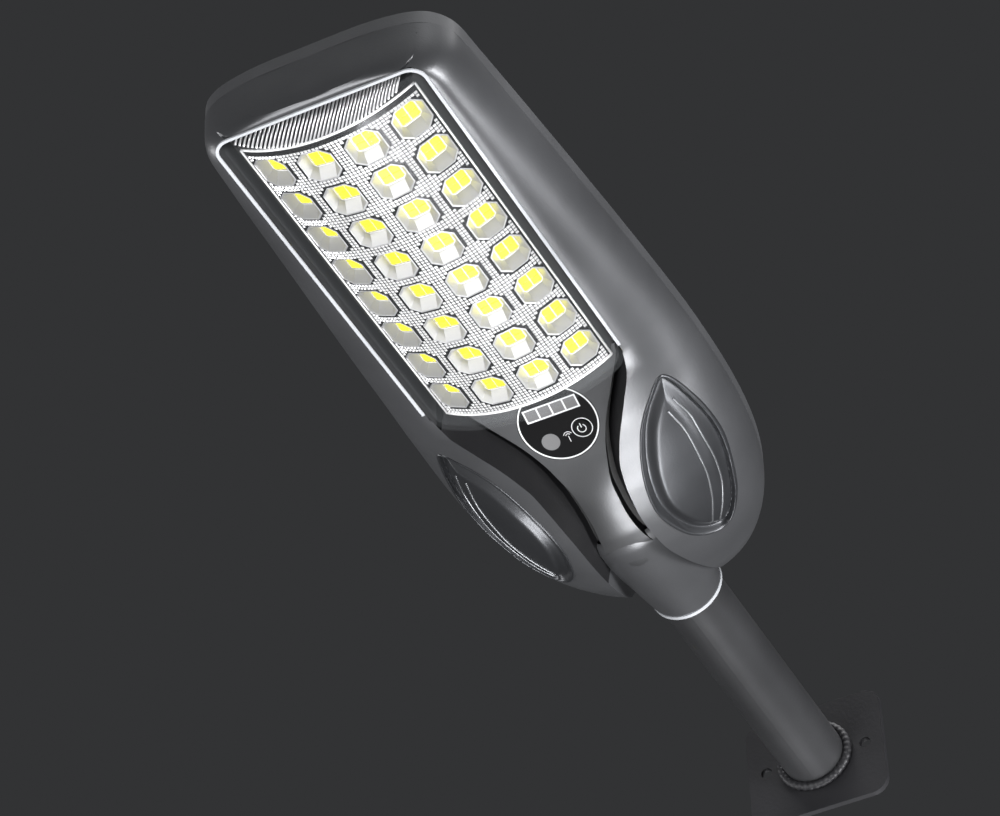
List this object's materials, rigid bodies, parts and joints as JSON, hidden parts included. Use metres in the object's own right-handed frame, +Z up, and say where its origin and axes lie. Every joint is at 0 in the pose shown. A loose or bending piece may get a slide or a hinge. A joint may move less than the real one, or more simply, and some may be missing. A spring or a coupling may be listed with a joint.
{
  "type": "solar street lamp",
  "caption": "Solar street lamp head with a ribbed reflector of recessed LED cups, solar panel on its back, control disc and sprung power button, swivelling on a wall pole with a bolt plate.",
  "frame": {"origin": "centre of the wall plate's back face, on the pole's axis", "axes": "+Y into the wall, the lamp stands out along -Y, +Z up (solar panel side), light shines along -Z"},
  "size_m": [0.1708, 0.6181, 0.0751],
  "materials": {
    "housing_charcoal": "satin moulded, metallic charcoal",
    "cover_charcoal": "satin moulded",
    "painted_pole": "satin powder coat",
    "steel": "zinc plated",
    "ring_bright": "bright bead",
    "seal_black": "matt",
    "groove_black": "gloss black",
    "eye_charcoal": "semi gloss metallic charcoal",
    "reflector_silver": "vacuum metallised",
    "led_board": "white solder mask",
    "led_yellow": "phosphor",
    "spreader": "mill finish",
    "lens_clear": "clear polycarbonate",
    "solar_glass": "tempered, clear",
    "solar_cell": "mono silicon blue black",
    "backsheet": "white film",
    "panel_black": "gloss black",
    "print_white": "printed white",
    "window_grey": "frosted",
    "board_green": "solder mask",
    "chip_black": "epoxy",
    "battery_wrap": "heat shrink wrap",
    "wire_red_black": "silicone lead"
  },
  "bodies": {
    "bracket": {"wall_flange": "painted_pole", "pole_tube": "painted_pole", "weld_collar": "painted_pole"},
    "head": {"back_cover": "cover_charcoal", "battery_cells": "battery_wrap", "battery_holder": "chip_black", "battery_strap": "seal_black", "battery_wires": "wire_red_black", "bezel_ring": "print_white", "button_spring": "steel", "button_switch": "chip_black", "control_bezel": "panel_black", "control_board": "board_green", "control_chips": "chip_black", "cover_gasket": "seal_black", "cover_screws": "steel", "gauge_frame": "print_white", "gauge_lamps": "print_white", "gauge_windows": "window_grey", "heat_spreader": "spreader", "led_board_1": "led_board", "led_board_2": "led_board", "led_board_3": "led_board", "led_board_4": "led_board", "led_chips_1": "led_yellow", "led_chips_2": "led_yellow", "led_chips_3": "led_yellow", "led_chips_4": "led_yellow", "left_eye_panel": "eye_charcoal", "left_groove_trim": "groove_black", "lens_cover": "lens_clear", "lens_gasket": "seal_black", "lock_nut": "steel", "lower_housing": "housing_charcoal", "motion_sensor": "chip_black", "panel_box": "chip_black", "panel_wires": "wire_red_black", "pole_lock_screw": "steel", "pole_socket": "housing_charcoal", "reflector": "reflector_silver", "right_eye_panel": "eye_charcoal", "right_groove_trim": "groove_black", "rim_bead": "ring_bright", "sensor_window": "window_grey", "socket_ring": "ring_bright", "socket_seal": "seal_black", "solar_backsheet": "backsheet", "solar_cells": "solar_cell", "solar_glass": "solar_glass"},
    "power_button": {"power_button": "panel_black"}
  },
  "joints": [
    {"name": "head_swivel", "type": "hinge", "parent": "bracket", "child": "head", "pos_m": [0, -0.215, 0], "axis": [0, 1, 0], "range_deg": [-90, 90]},
    {"name": "power_press", "type": "slide", "parent": "head", "child": "power_button", "axis": [0, 0.3584, 0.9336], "range_m": [0, 0.0008], "stiffness_N_per_m": 1500}
  ]
}
